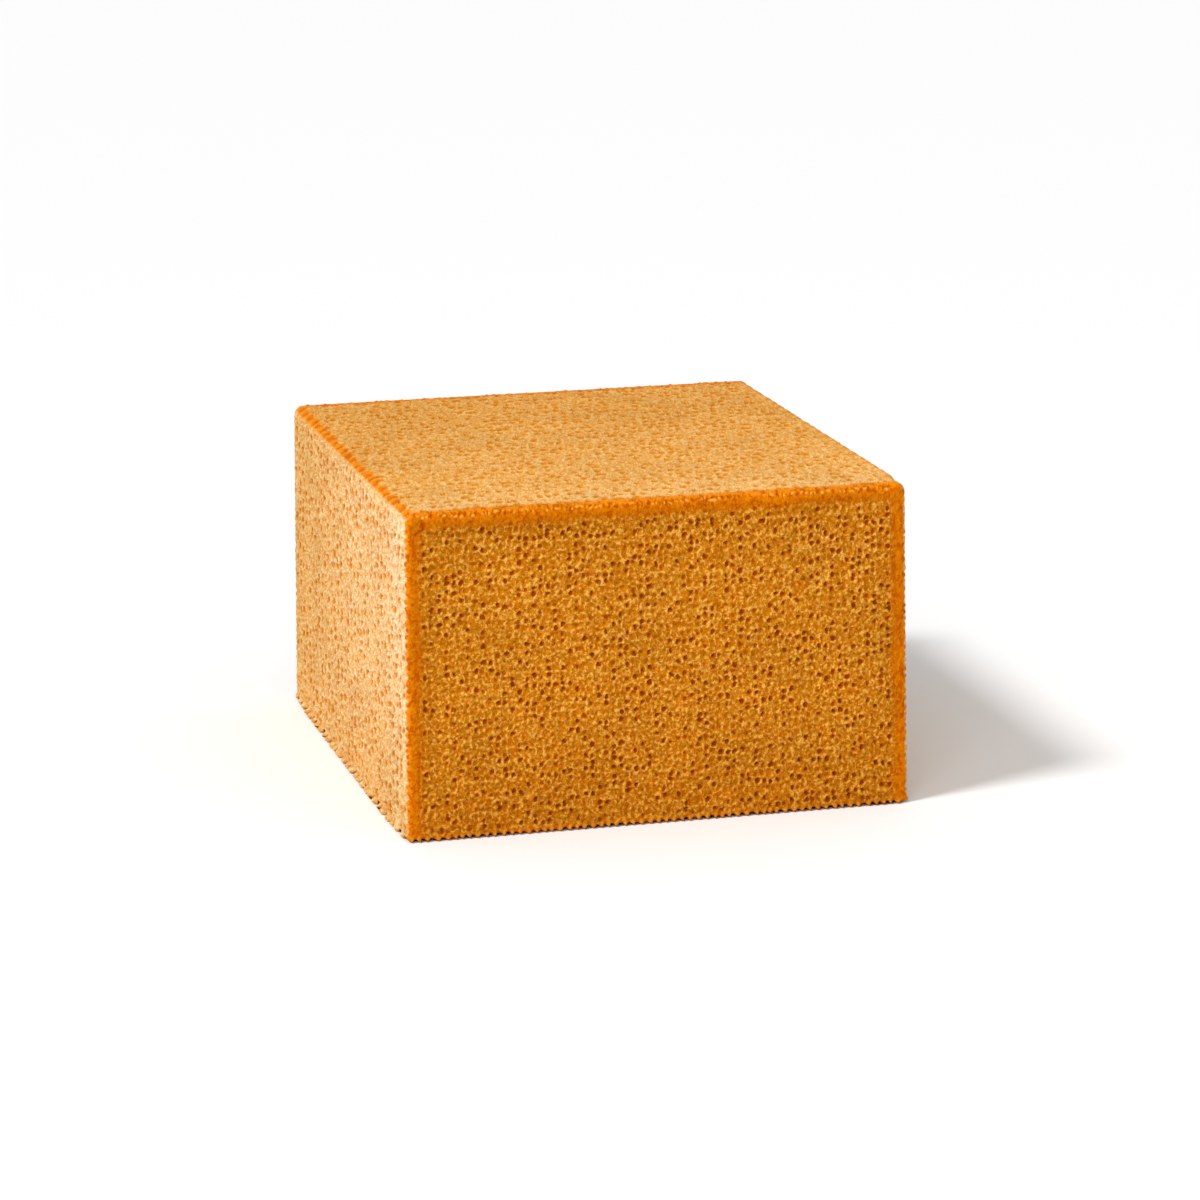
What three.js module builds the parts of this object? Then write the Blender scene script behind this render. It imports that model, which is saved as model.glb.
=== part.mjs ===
// A tall mud cake, whole and uncut, as it stands after baking in a square-cornered tin.
// It is one solid block of crumb. Its sides lean in a little towards the top. Every edge is a
// browned, rounded rim that baked into small beads, and the largest pores of the crumb stand open
// in its faces.
// The origin is the middle of the base. +Z is up, and -Y is the front.

import * as THREE from 'three';
import { mergeVertices } from 'three/addons/utils/BufferGeometryUtils.js';

// The block, in millimetres.
const TOP_WIDTH = 198;
const TOP_DEPTH = 224;
const HEIGHT = 128;
const FLARE = 1.6; // each side stands this much further out at the base than at the top

// The rounded rim. Along the base it is flatter, because the cake's weight rests on it.
const RIM_RADIUS = 3.6;
const BASE_RIM_HEIGHT = 2.3;
const RIM_STEPS = 2; // facets across the rounding

// The beads of the rim: their spacing along an edge, the depth of the dip between two of them,
// the share of the spacing that a bead's flat crest takes, and how uneven they are.
const FINE_BEADS = { pitch: 3.4, dip: 0.55, crest: 0 };
const LONG_BEADS = { pitch: 9.4, dip: 0.9, crest: 0.45 };
const BEAD_UNEVENNESS = 0.22;

// The open pores: how many in a face, their half length and half height, their depth, and the
// least gap between two of them. The cut-like front and back have round, deep pores. The skin
// of the other faces has long, shallow ones that lie along the cake's depth.
const DEEP_PORES = { count: 112, halfLength: 1.25, halfHeight: 1.15, depth: 1.6, gap: 3.0 };
const SIDE_PORES = { count: 44, halfLength: 2.4, halfHeight: 1.2, depth: 0.9, gap: 5.0 };
const TOP_PORES = { count: 58, halfLength: 2.4, halfHeight: 1.4, depth: 0.8, gap: 5.0 };
const PORE_SIDES = 5;
const PORE_UNEVENNESS = 0.25;
const PORE_MARGIN = 4; // bare crumb between the rim and the nearest pore
const PORE_TRIES = 60; // places tried for one pore before it is left out

const CAKE_COLOUR = 0xd18a3a;
const CAKE_ROUGHNESS = 0.62;

const HALF_WIDTH = TOP_WIDTH / 2;
const HALF_DEPTH = TOP_DEPTH / 2;

// Where the flat part of each face begins and ends, along each axis.
const INNER = {
  x: [-HALF_WIDTH + RIM_RADIUS, HALF_WIDTH - RIM_RADIUS],
  y: [-HALF_DEPTH + RIM_RADIUS, HALF_DEPTH - RIM_RADIUS],
  z: [BASE_RIM_HEIGHT, HEIGHT - RIM_RADIUS],
};

// The planes of the six faces, as the low and the high one along each axis.
const OUTER = {
  x: [-HALF_WIDTH, HALF_WIDTH],
  y: [-HALF_DEPTH, HALF_DEPTH],
  z: [0, HEIGHT],
};

const AXES = ['x', 'y', 'z'];

// A repeatable source of random numbers between 0 and 1.
function seededRandom(seed) {
  let state = seed;
  return () => {
    state = (state + 0x6d2b79f5) | 0;
    let mixed = Math.imul(state ^ (state >>> 15), 1 | state);
    mixed = (mixed + Math.imul(mixed ^ (mixed >>> 7), 61 | mixed)) ^ mixed;
    return ((mixed ^ (mixed >>> 14)) >>> 0) / 4294967296;
  };
}

// A value between 1 - amount and 1 + amount.
function vary(random, amount) {
  return 1 + amount * (2 * random() - 1);
}

function pointOnAxes(values) {
  return new THREE.Vector3(values.x, values.y, values.z);
}

// The places along one edge where its rounding has a section of its own. Each has the distance
// that the rounding is pulled in there: nearly none on a bead, and the full dip between beads.
function beadStations(from, to, beads, random) {
  const stations = [{ at: from, pull: 0 }];
  const count = Math.round((to - from) / beads.pitch);
  const pitch = (to - from) / count;
  for (let bead = 0; bead < count; bead += 1) {
    const middle = from + (bead + 0.5) * pitch;
    const swell = 0.15 * beads.dip * random();
    const halfCrest = 0.5 * beads.crest * pitch * vary(random, BEAD_UNEVENNESS);
    if (halfCrest > 0) {
      stations.push({ at: middle - halfCrest, pull: swell });
      stations.push({ at: middle + halfCrest, pull: swell * 0.5 });
    } else {
      stations.push({ at: middle + 0.1 * pitch * (random() - 0.5), pull: swell });
    }
    if (bead < count - 1) {
      const dip = beads.dip * vary(random, BEAD_UNEVENNESS);
      stations.push({ at: from + (bead + 1) * pitch, pull: dip });
    }
  }
  stations.push({ at: to, pull: 0 });
  return stations;
}

// One edge of the block, as rows of points. The edge runs along one axis, where the faces
// towards the ends of the axes `first` and `second` meet. Row 0 borders the face of `first`, and
// the last row borders the face of `second`.
function edgeRows(along, first, second, beads, random) {
  const stations = beadStations(INNER[along][0], INNER[along][1], beads, random);
  const rows = [];
  for (let step = 0; step <= RIM_STEPS; step += 1) {
    const angle = (step / RIM_STEPS) * (Math.PI / 2);
    rows.push(stations.map((station) => {
      const reach = (side, share, backShare) => {
        const inner = INNER[side.axis][side.end];
        const radius = OUTER[side.axis][side.end] - inner;
        const inwards = -Math.sign(radius);
        return inner + radius * share + inwards * station.pull * backShare;
      };
      const values = { [along]: station.at };
      values[first.axis] = reach(first, Math.cos(angle), Math.sin(angle));
      values[second.axis] = reach(second, Math.sin(angle), Math.cos(angle));
      return pointOnAxes(values);
    }));
  }
  return rows;
}

// The block's shell is a list of triangles, each turned to face away from the inside.
const triangles = [];

function addTriangle(a, b, c, outwards) {
  const normal = new THREE.Triangle(a, b, c).getNormal(new THREE.Vector3());
  if (normal.dot(outwards) < 0) {
    triangles.push(a, c, b);
  } else {
    triangles.push(a, b, c);
  }
}

// The direction that points out of the block through the named faces.
function outwardDirection(...sides) {
  const direction = { x: 0, y: 0, z: 0 };
  for (const side of sides) {
    direction[side.axis] = side.end ? 1 : -1;
  }
  return pointOnAxes(direction);
}

function closeEdge(rows, outwards) {
  for (let row = 1; row < rows.length; row += 1) {
    for (let station = 1; station < rows[row].length; station += 1) {
      const a = rows[row - 1][station - 1];
      const b = rows[row - 1][station];
      const c = rows[row][station];
      const d = rows[row][station - 1];
      addTriangle(a, b, c, outwards);
      addTriangle(a, c, d, outwards);
    }
  }
}

// The rounded corner where three faces meet: an eighth of a ball, stretched to the rim's sizes.
function addCorner(ends) {
  const place = (shares) => {
    const length = Math.hypot(...shares);
    const values = {};
    AXES.forEach((axis, index) => {
      const inner = INNER[axis][ends[axis]];
      values[axis] = inner + (OUTER[axis][ends[axis]] - inner) * (shares[index] / length);
    });
    return pointOnAxes(values);
  };
  const outwards = outwardDirection(...AXES.map((axis) => ({ axis, end: ends[axis] })));
  const tips = [place([1, 0, 0]), place([0, 1, 0]), place([0, 0, 1])];
  const middles = [place([1, 1, 0]), place([0, 1, 1]), place([1, 0, 1])];
  addTriangle(tips[0], middles[0], middles[2], outwards);
  addTriangle(tips[1], middles[0], middles[1], outwards);
  addTriangle(tips[2], middles[1], middles[2], outwards);
  addTriangle(middles[0], middles[1], middles[2], outwards);
}

// The twelve edges. The beads are fine on the uprights and on the edges that run left to right,
// and long on the edges that run front to back.
const edges = {};

function edgeName(along, firstEnd, secondEnd) {
  return `${along}${firstEnd}${secondEnd}`;
}

function otherAxes(along) {
  return AXES.filter((axis) => axis !== along);
}

AXES.forEach((along, axisIndex) => {
  const [firstAxis, secondAxis] = otherAxes(along);
  const beads = along === 'y' ? LONG_BEADS : FINE_BEADS;
  for (const firstEnd of [0, 1]) {
    for (const secondEnd of [0, 1]) {
      const random = seededRandom(101 + 10 * axisIndex + 2 * firstEnd + secondEnd);
      const first = { axis: firstAxis, end: firstEnd };
      const second = { axis: secondAxis, end: secondEnd };
      const rows = edgeRows(along, first, second, beads, random);
      edges[edgeName(along, firstEnd, secondEnd)] = rows;
      closeEdge(rows, outwardDirection(first, second));
    }
  }
});

for (const x of [0, 1]) {
  for (const y of [0, 1]) {
    for (const z of [0, 1]) {
      addCorner({ x, y, z });
    }
  }
}

// The row of points where an edge borders the face at the end `end` of the axis `faceAxis`.
function borderRow(faceAxis, end, along, otherEnd) {
  const [firstAxis] = otherAxes(along);
  const faceIsFirst = firstAxis === faceAxis;
  const name = faceIsFirst ? edgeName(along, end, otherEnd) : edgeName(along, otherEnd, end);
  const rows = edges[name];
  return faceIsFirst ? rows[0] : rows[rows.length - 1];
}

// The centres of a face's pores: scattered by chance, but no two closer than their sizes allow.
function poreCentres(u, v, pores, random) {
  const centres = [];
  const stretch = pores.halfLength / pores.halfHeight;
  const spacing = 2 * pores.halfHeight + pores.gap;
  const reachU = PORE_MARGIN + pores.halfLength;
  const reachV = PORE_MARGIN + pores.halfHeight;
  for (let pore = 0; pore < pores.count; pore += 1) {
    for (let attempt = 0; attempt < PORE_TRIES; attempt += 1) {
      const place = {
        u: THREE.MathUtils.lerp(u[0] + reachU, u[1] - reachU, random()),
        v: THREE.MathUtils.lerp(v[0] + reachV, v[1] - reachV, random()),
      };
      const crowded = centres.some((other) => (
        Math.hypot((other.u - place.u) / stretch, other.v - place.v) < spacing
      ));
      if (!crowded) {
        centres.push(place);
        break;
      }
    }
  }
  return centres;
}

// One flat face: the flat crumb between its four rims, with its pores sunk into it. The pores lie
// along the face's axis `u`, which is the cake's depth on every face but the front and back. A
// face with no pores is plain.
function addFace(faceAxis, end, pores, seed) {
  const random = seededRandom(seed);
  const u = faceAxis === 'y' ? 'x' : 'y';
  const v = AXES.find((axis) => axis !== faceAxis && axis !== u);
  const plane = OUTER[faceAxis][end];
  const outwards = outwardDirection({ axis: faceAxis, end });
  const border = [
    ...borderRow(faceAxis, end, u, 0).slice(0, -1),
    ...borderRow(faceAxis, end, v, 1).slice(0, -1),
    ...borderRow(faceAxis, end, u, 1).slice(1).reverse(),
    ...borderRow(faceAxis, end, v, 0).slice(1).reverse(),
  ];
  const holes = [];
  for (const centre of pores ? poreCentres(INNER[u], INNER[v], pores, random) : []) {
    const turn = random() * Math.PI * 2;
    const size = vary(random, PORE_UNEVENNESS);
    const ring = [];
    for (let side = 0; side < PORE_SIDES; side += 1) {
      const angle = turn + (side / PORE_SIDES) * Math.PI * 2;
      const radius = size * vary(random, PORE_UNEVENNESS * 0.5);
      const values = { [faceAxis]: plane };
      values[u] = centre.u + pores.halfLength * radius * Math.cos(angle);
      values[v] = centre.v + pores.halfHeight * radius * Math.sin(angle);
      ring.push(pointOnAxes(values));
    }
    const floor = { [faceAxis]: plane - outwards[faceAxis] * pores.depth * size };
    floor[u] = centre.u + 0.3 * pores.halfLength * (random() - 0.5);
    floor[v] = centre.v + 0.3 * pores.halfHeight * (random() - 0.5);
    const bottom = pointOnAxes(floor);
    ring.forEach((corner, index) => {
      addTriangle(corner, ring[(index + 1) % PORE_SIDES], bottom, outwards);
    });
    holes.push(ring);
  }
  const flatten = (point) => new THREE.Vector2(point[u], point[v]);
  const points = [border, ...holes].flat();
  const found = THREE.ShapeUtils.triangulateShape(
    border.map(flatten),
    holes.map((ring) => ring.map(flatten)),
  );
  for (const [a, b, c] of found) {
    addTriangle(points[a], points[b], points[c], outwards);
  }
}

addFace('y', 0, DEEP_PORES, 211); // front
addFace('y', 1, DEEP_PORES, 223); // back
addFace('x', 0, SIDE_PORES, 227); // left
addFace('x', 1, SIDE_PORES, 229); // right
addFace('z', 1, TOP_PORES, 233); // top
addFace('z', 0, null, 239); // base

// The sides lean in: each level is a little larger than the one above it.
function flare(point) {
  const share = 1 - point.z / HEIGHT;
  return new THREE.Vector3(
    point.x * (1 + (FLARE / HALF_WIDTH) * share),
    point.y * (1 + (FLARE / HALF_DEPTH) * share),
    point.z,
  );
}

const shell = new THREE.BufferGeometry().setFromPoints(triangles.map(flare));
const cakeGeometry = mergeVertices(shell, 1e-4);
cakeGeometry.computeVertexNormals();

const crumb = new THREE.MeshStandardMaterial({
  color: CAKE_COLOUR,
  roughness: CAKE_ROUGHNESS,
  metalness: 0,
  flatShading: true,
});

const cake = new THREE.Mesh(cakeGeometry, crumb);
cake.name = 'cake';

const mudCake = new THREE.Group();
mudCake.add(cake);

export default mudCake;
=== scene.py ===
import math

import bpy
import numpy as np
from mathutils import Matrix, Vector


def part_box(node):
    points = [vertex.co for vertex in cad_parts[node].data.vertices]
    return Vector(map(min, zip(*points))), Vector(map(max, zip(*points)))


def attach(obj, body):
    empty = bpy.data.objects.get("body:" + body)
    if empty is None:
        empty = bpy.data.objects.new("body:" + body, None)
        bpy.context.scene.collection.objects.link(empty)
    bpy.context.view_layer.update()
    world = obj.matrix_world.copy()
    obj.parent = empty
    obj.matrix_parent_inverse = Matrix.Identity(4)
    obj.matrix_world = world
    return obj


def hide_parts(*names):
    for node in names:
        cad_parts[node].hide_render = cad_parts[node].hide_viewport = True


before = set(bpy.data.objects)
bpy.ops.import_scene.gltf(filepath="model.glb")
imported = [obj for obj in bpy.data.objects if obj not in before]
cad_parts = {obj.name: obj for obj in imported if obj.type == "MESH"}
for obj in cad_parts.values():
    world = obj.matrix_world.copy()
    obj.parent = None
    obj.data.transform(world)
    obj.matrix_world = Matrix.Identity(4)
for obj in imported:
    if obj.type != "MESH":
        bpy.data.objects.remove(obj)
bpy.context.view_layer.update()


# ---- The crumb's finish ----
# Mud cake has a dense, moist crumb the colour of caramel. The open front and back are darkest,
# with dark pores, darkened further by painted shade. The skin on the other faces is paler, with
# painted light near the front, and painted shade deepens it towards the back and the base.
# The rim round the front and back has baked to a clear orange, and so has the top's left side.
MM = 0.001
OPEN_CRUMB = (0.62, 0.188, 0.0036)
OPEN_BROWN = (0.59, 0.210, 0.0064)
# A painted highlight on the knots of the open crumb.
OPEN_KNOT_HIGHLIGHT = (0.86, 0.43, 0.072)
# The pore and gap colours are painted shade in the open crumb's hollows.
OPEN_PORE_SHADE = (0.50, 0.085, 0.0003)
OPEN_GAP_SHADE = (0.37, 0.105, 0.0010)
# The deep colours multiply in the painted shade towards the back and the base, and the darkening near the
# open faces' rim.
OPEN_DEEP_SHADE = (0.86, 0.80, 0.62)
SIDE_SKIN = (0.84, 0.50, 0.205)
# A painted highlight on the knots and walls of the sides' skin.
SIDE_KNOT_HIGHLIGHT = (0.91, 0.74, 0.48)
# The pore and gap colours are painted shade in the hollows of the sides' skin.
SIDE_PORE_SHADE = (0.65, 0.205, 0.006)
SIDE_GAP_SHADE = (0.71, 0.29, 0.040)
# Multiplied in as painted shade towards the back and the base.
SIDE_DEEP_SHADE = (0.83, 0.74, 0.52)
TOP_SKIN = (0.79, 0.395, 0.096)
# A painted highlight on the knots and walls of the top's skin.
TOP_KNOT_HIGHLIGHT = (0.91, 0.57, 0.225)
# The pore and gap colours are painted shade in the hollows of the top's skin.
TOP_PORE_SHADE = (0.66, 0.215, 0.004)
TOP_GAP_SHADE = (0.71, 0.27, 0.018)
# Multiplied in as painted shade towards the back and the base.
TOP_DEEP_SHADE = (0.90, 0.85, 0.73)
RIM_OUTER = (0.67, 0.166, 0.0004)
RIM_INNER = (0.56, 0.140, 0.0016)
RIM_STREAK = (0.46, 0.070, 0.0003)
# A painted highlight on the walls of the rim's crumb.
RIM_WALL_HIGHLIGHT = (0.84, 0.30, 0.004)
# Painted shade in the rim's pores and gaps.
RIM_GAP_SHADE = (0.42, 0.060, 0.0003)
RIB = (0.86, 0.25, 0.004)
# A painted highlight on the tips of beads and scallops.
BEAD_TIP_HIGHLIGHT = (0.92, 0.39, 0.050)
# A painted shadow under the arches of the base.
PAINTED_SHADOW = (0.060, 0.018, 0.0015)
CRUMB_ROUGHNESS = 0.5
CRUMB_SHINE = 0.005
CRUMB_SIZE = 0.6 * MM
BLOTCH_SIZE = 2.0 * MM
TINT_SIZE = 3.2 * MM
PATCH_SIZE = 24 * MM
LUMP_HEIGHT = 0.7 * MM
LUMP_DEPTH = 1.3 * MM
OPEN_LUMP = (1.20 * MM, 1.35 * MM)
SIDE_LUMP = (2.8 * MM, 1.3 * MM)
TOP_LUMP = (1.05 * MM, 2.8 * MM)
SIDE_SKEW = 0.22
TOP_SKEW = 0.27
# Each pair is for the skin of the sides and the top, and for the open front and back. The knot and
# wall numbers set painted highlights, and the gap numbers set painted shade.
KNOT_SHARE = (0.30, 0.60)
WALL_SHARE = (0.62, 0.75)
GAP_SHARE = (0.58, 0.75)
WALL_LEVEL = (0.62, 0.66)
GAP_LEVEL = (0.35, 0.32)


class Strand:
    """A value on its way through a node tree, so that a recipe for crumb reads as a formula."""

    def __init__(self, tree, socket):
        self.tree = tree
        self.socket = socket

    def calc(self, operation, *others):
        made = self.tree.nodes.new("ShaderNodeMath")
        made.operation = operation
        feed(self.tree, made.inputs[0], self)
        for place, other in enumerate(others):
            feed(self.tree, made.inputs[place + 1], other)
        return Strand(self.tree, made.outputs[0])

    def __add__(self, other):
        return self.calc("ADD", other)

    def __sub__(self, other):
        return self.calc("SUBTRACT", other)

    def __mul__(self, other):
        return self.calc("MULTIPLY", other)

    def __truediv__(self, other):
        return self.calc("DIVIDE", other)

    def least(self, other):
        return self.calc("MINIMUM", other)

    def most(self, other):
        return self.calc("MAXIMUM", other)

    def size(self):
        return self.calc("ABSOLUTE")

    def rest_of(self):
        return (self * -1) + 1

    def ease(self, start, end, low=0.0, high=1.0):
        """low up to start, high from end on, and a smooth change between them."""
        made = self.tree.nodes.new("ShaderNodeMapRange")
        made.interpolation_type = "SMOOTHSTEP"
        for place, value in enumerate((self, start, end, low, high)):
            feed(self.tree, made.inputs[place], value)
        return Strand(self.tree, made.outputs[0])


def feed(tree, socket, value):
    """Sets a socket, or links it where the value comes from another node."""
    if isinstance(value, Strand):
        tree.links.new(value.socket, socket)
    else:
        socket.default_value = value


def grow(tree, kind, inputs=None, **settings):
    """A new node with its settings made and its inputs, by name or number, fed."""
    made = tree.nodes.new(kind)
    for setting, value in settings.items():
        setattr(made, setting, value)
    for place, value in (inputs or {}).items():
        feed(tree, made.inputs[place], value)
    return made


def out(made, place=0):
    return Strand(made.id_data, made.outputs[place])


def axes_of(tree, vector):
    split = grow(tree, "ShaderNodeSeparateXYZ", {0: vector})
    return out(split, 0), out(split, 1), out(split, 2)


def point_of(tree, x, y, z):
    return out(grow(tree, "ShaderNodeCombineXYZ", {0: x, 1: y, 2: z}))


def stretch(tree, vector, amount):
    """A vector made longer or shorter."""
    return out(grow(tree, "ShaderNodeVectorMath", {0: vector, "Scale": amount}, operation="SCALE"))


def shift(tree, vector, other):
    return out(grow(tree, "ShaderNodeVectorMath", {0: vector, 1: other}, operation="ADD"))


crumb = bpy.data.materials.new("caramel_crumb")
crumb.use_nodes = True
mix = crumb.node_tree
mix.nodes.clear()


def stored(name):
    return out(grow(mix, "ShaderNodeAttribute", attribute_name=name, attribute_type="GEOMETRY"), "Fac")


def blend(share, first, second, way="MIX"):
    """A colour between two others."""
    made = grow(mix, "ShaderNodeMix", data_type="RGBA", blend_type=way, clamp_factor=True)
    feed(mix, made.inputs[0], share)
    for place, colour in ((6, first), (7, second)):
        feed(mix, made.inputs[place], colour if isinstance(colour, Strand) else (*colour, 1.0))
    return out(made, 2)


def drawn_out(times):
    """The place in the cake, with the grain drawn out along the axes where the number is small."""
    return out(grow(mix, "ShaderNodeVectorMath", {0: grain_place, 1: times}, operation="MULTIPLY"))


def grain(where, size, detail=2.0, roughness=0.5):
    inputs = {"Vector": where, "Scale": 1 / size, "Detail": detail, "Roughness": roughness}
    return out(grow(mix, "ShaderNodeTexNoise", inputs), 0)


# The grain is drawn out along the depth of the cake, and runs a little askew of its sides.
grain_place = out(grow(mix, "ShaderNodeTexCoord"), "Object")
grain_x, grain_y, grain_z = axes_of(mix, grain_place)
skewed_x = grain_x - grain_y * TOP_SKEW
skewed_z = grain_z + grain_y * SIDE_SKEW
crumb_place = point_of(mix, skewed_x, grain_y * 0.42, grain_z * 0.85 + grain_y * 0.19)
patches = grain(grain_place, PATCH_SIZE, 3.0)
crumbs = grain(crumb_place, CRUMB_SIZE, 2.0, 0.6)
blotches = grain(drawn_out((1.0, 0.6, 0.7)), BLOTCH_SIZE, 1.5)
tint = grain(grain_place, TINT_SIZE, 2.0).ease(0.40, 0.60)


# Between the open pores the crumb is a weave of lumpy walls and small gaps, with painted highlights
# on the walls and painted shade in the gaps. The lumps are fine on the front and the back, and drawn
# out along the depth on the sides and the top.
def woven(across, up, depth, lump):
    where = point_of(mix, across / lump[0], up / lump[1], depth / LUMP_DEPTH)
    bend_inputs = {"Vector": where, "Scale": 0.5, "Detail": 1.0}
    bend = shift(mix, out(grow(mix, "ShaderNodeTexNoise", bend_inputs), 1), (-0.5, -0.5, -0.5))
    return grain(shift(mix, where, stretch(mix, bend, 1.3)), 1.0, 1.2)


def by_face(numbers):
    """The first number on the skin, the second on the open faces, and a change over between them."""
    on_skin, on_open = numbers
    return open_share * (on_open - on_skin) + on_skin


side_share, top_share = stored("side_share"), stored("top_share")
open_share = (side_share + top_share).rest_of()
weave = woven(grain_x, grain_z, grain_y, OPEN_LUMP) * open_share
weave = weave + woven(grain_y, skewed_z, grain_x, SIDE_LUMP) * side_share
weave = weave + woven(skewed_x, grain_y, grain_z, TOP_LUMP) * top_share
wall = weave.ease(0.49, by_face(WALL_LEVEL))
# The gaps of the weave get painted shade.
gap_shade = weave.ease(0.47, by_face(GAP_LEVEL))
# The pore mark: painted shade in the pores, dimples and gaps.
pore = stored("pore")
# Painted highlights on the knots and on the walls of the weave.
light = (stored("knot") * by_face(KNOT_SHARE) + wall * by_face(WALL_SHARE)).ease(0.06, 1.05)


def crumb_colour(base, raised, between, sunk, deep_shade):
    """The colour of one kind of crumb: its base and its lumps in painted highlight, then painted shade in
    its gaps and pores, and its deepening with painted shade.
    """
    woven_colour = blend(gap_shade * by_face(GAP_SHARE), blend(light, base, raised), between)
    return blend(stored("deep_and_painted_shade"), blend(pore, woven_colour, sunk), deep_shade, "MULTIPLY")


open_base = blend(tint, OPEN_CRUMB, OPEN_BROWN)
open_colour = crumb_colour(open_base, OPEN_KNOT_HIGHLIGHT, OPEN_GAP_SHADE, OPEN_PORE_SHADE, OPEN_DEEP_SHADE)
# Painted light makes the skin's base paler near the front.
side_base = blend(stored("painted_front_light"), SIDE_SKIN, SIDE_KNOT_HIGHLIGHT)
side_colour = crumb_colour(side_base, SIDE_KNOT_HIGHLIGHT, SIDE_GAP_SHADE, SIDE_PORE_SHADE, SIDE_DEEP_SHADE)
top_base = blend(stored("painted_front_light"), TOP_SKIN, TOP_KNOT_HIGHLIGHT)
top_colour = crumb_colour(top_base, TOP_KNOT_HIGHLIGHT, TOP_GAP_SHADE, TOP_PORE_SHADE, TOP_DEEP_SHADE)
rim_colour = blend(stored("inner"), RIM_OUTER, RIM_INNER)
# The rounding is painted a lighter orange where it turns to the top and the sides, as painted light.
rim_colour = blend((side_share + top_share) * 0.9, rim_colour, RIB)
streaked = blotches.ease(0.47, 0.62)
rim_colour = blend(streaked * 0.75, rim_colour, RIM_STREAK)
# Painted highlights on the rim's walls.
rim_colour = blend(wall * 0.35, rim_colour, RIM_WALL_HIGHLIGHT)
# Painted shade in the rim's pores and gaps, and in the ribs' gaps.
rim_colour = blend(pore, rim_colour, RIM_GAP_SHADE)
rib_colour = blend(pore, blend(streaked * 0.3, RIB, RIM_STREAK), RIM_GAP_SHADE)
cake_colour = blend(side_share, open_colour, side_colour)
cake_colour = blend(top_share, cake_colour, top_colour)
cake_colour = blend(stored("browned"), cake_colour, rim_colour)
cake_colour = blend(stored("ribbed"), cake_colour, rib_colour)
# Painted highlights on the tips of the top's beads and of the front scallops.
cake_colour = blend(stored("tip"), cake_colour, BEAD_TIP_HIGHLIGHT)
# The painted shadow under the base's arches.
cake_colour = blend(stored("painted_shadow"), cake_colour, PAINTED_SHADOW)
shade = crumbs.ease(0.32, 0.68, 0.92, 1.07) * patches.ease(0.3, 0.7, 0.95, 1.05)
shaded = blend(1.0, cake_colour, point_of(mix, shade, shade, shade), "MULTIPLY")

fine_relief = grow(mix, "ShaderNodeBump", {"Strength": 1.0, "Distance": LUMP_HEIGHT})
feed(mix, fine_relief.inputs["Height"], weave * 1.1 + crumbs * 0.25)
skin = grow(mix, "ShaderNodeBsdfPrincipled", {"Base Color": shaded, "Normal": out(fine_relief)})
feed(mix, skin.inputs["Roughness"], crumbs.ease(0.3, 0.7, CRUMB_ROUGHNESS - 0.1, CRUMB_ROUGHNESS + 0.14))
skin.inputs["Specular IOR Level"].default_value = CRUMB_SHINE
surface = grow(mix, "ShaderNodeOutputMaterial")
mix.links.new(skin.outputs[0], surface.inputs["Surface"])


# ---- The crumb ----
# The front and back look cut: round open pores of every depth stand close together, with small
# bright knots of crumb between them. The skin of the sides and the top has shallower pores, drawn
# out along the depth of the cake. This pattern is one recipe, laid on each face by its own sizes.
OPEN_FACE = {
    "Pore spacing": 3.2 * MM, "Pore stretch": 0.88, "Pore depth": 1.15 * MM, "Narrow pore": 0.18,
    "Wide pore": 0.35, "Open share": 0.42, "Dimple depth": 0.50 * MM, "Shade reach": 1.0, "Scatter": 0.65,
    "Knot spacing": 1.5 * MM, "Knot height": 0.34 * MM, "Swell": 0.3 * MM,
}
SIDE_FACE = {
    "Pore spacing": 3.9 * MM, "Pore stretch": 1.7, "Pore depth": 0.55 * MM, "Narrow pore": 0.14,
    "Wide pore": 0.35, "Open share": 0.60, "Dimple depth": 0.12 * MM, "Shade reach": 1.25, "Scatter": 0.75,
    "Knot spacing": 1.8 * MM, "Knot height": 0.34 * MM, "Swell": 0.3 * MM,
}
TOP_FACE = {
    "Pore spacing": 3.8 * MM, "Pore stretch": 1.7, "Pore depth": 0.42 * MM, "Narrow pore": 0.14,
    "Wide pore": 0.35, "Open share": 0.62, "Dimple depth": 0.08 * MM, "Shade reach": 1.25, "Scatter": 0.75,
    "Knot spacing": 1.8 * MM, "Knot height": 0.20 * MM, "Swell": 0.3 * MM,
}

pattern = bpy.data.node_groups.new("Crumb_pattern", "GeometryNodeTree")
for label in ("Along", "Upwards", "Seed", *OPEN_FACE):
    pattern.interface.new_socket(label, in_out="INPUT", socket_type="NodeSocketFloat")
for label in ("Relief", "Pore", "Knot"):
    pattern.interface.new_socket(label, in_out="OUTPUT", socket_type="NodeSocketFloat")
size = {socket.name: Strand(pattern, socket) for socket in pattern.nodes.new("NodeGroupInput").outputs}


def lie(spacing, seed):
    """Where a point lies in a pattern of cells of one spacing, drawn out along the face."""
    first = size["Along"] / (spacing * size["Pore stretch"]) + seed
    return point_of(pattern, first, size["Upwards"] / spacing + seed, 0.0)


def cells(lying, randomness, feature="F1"):
    inputs = {"Vector": lying, "Scale": 1.0, "Randomness": randomness}
    return grow(pattern, "ShaderNodeTexVoronoi", inputs, voronoi_dimensions="2D", feature=feature)


def cloud(lying, scale, detail=1.0):
    inputs = {"Vector": lying, "Scale": scale, "Detail": detail}
    return grow(pattern, "ShaderNodeTexNoise", inputs, noise_dimensions="2D")


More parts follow.
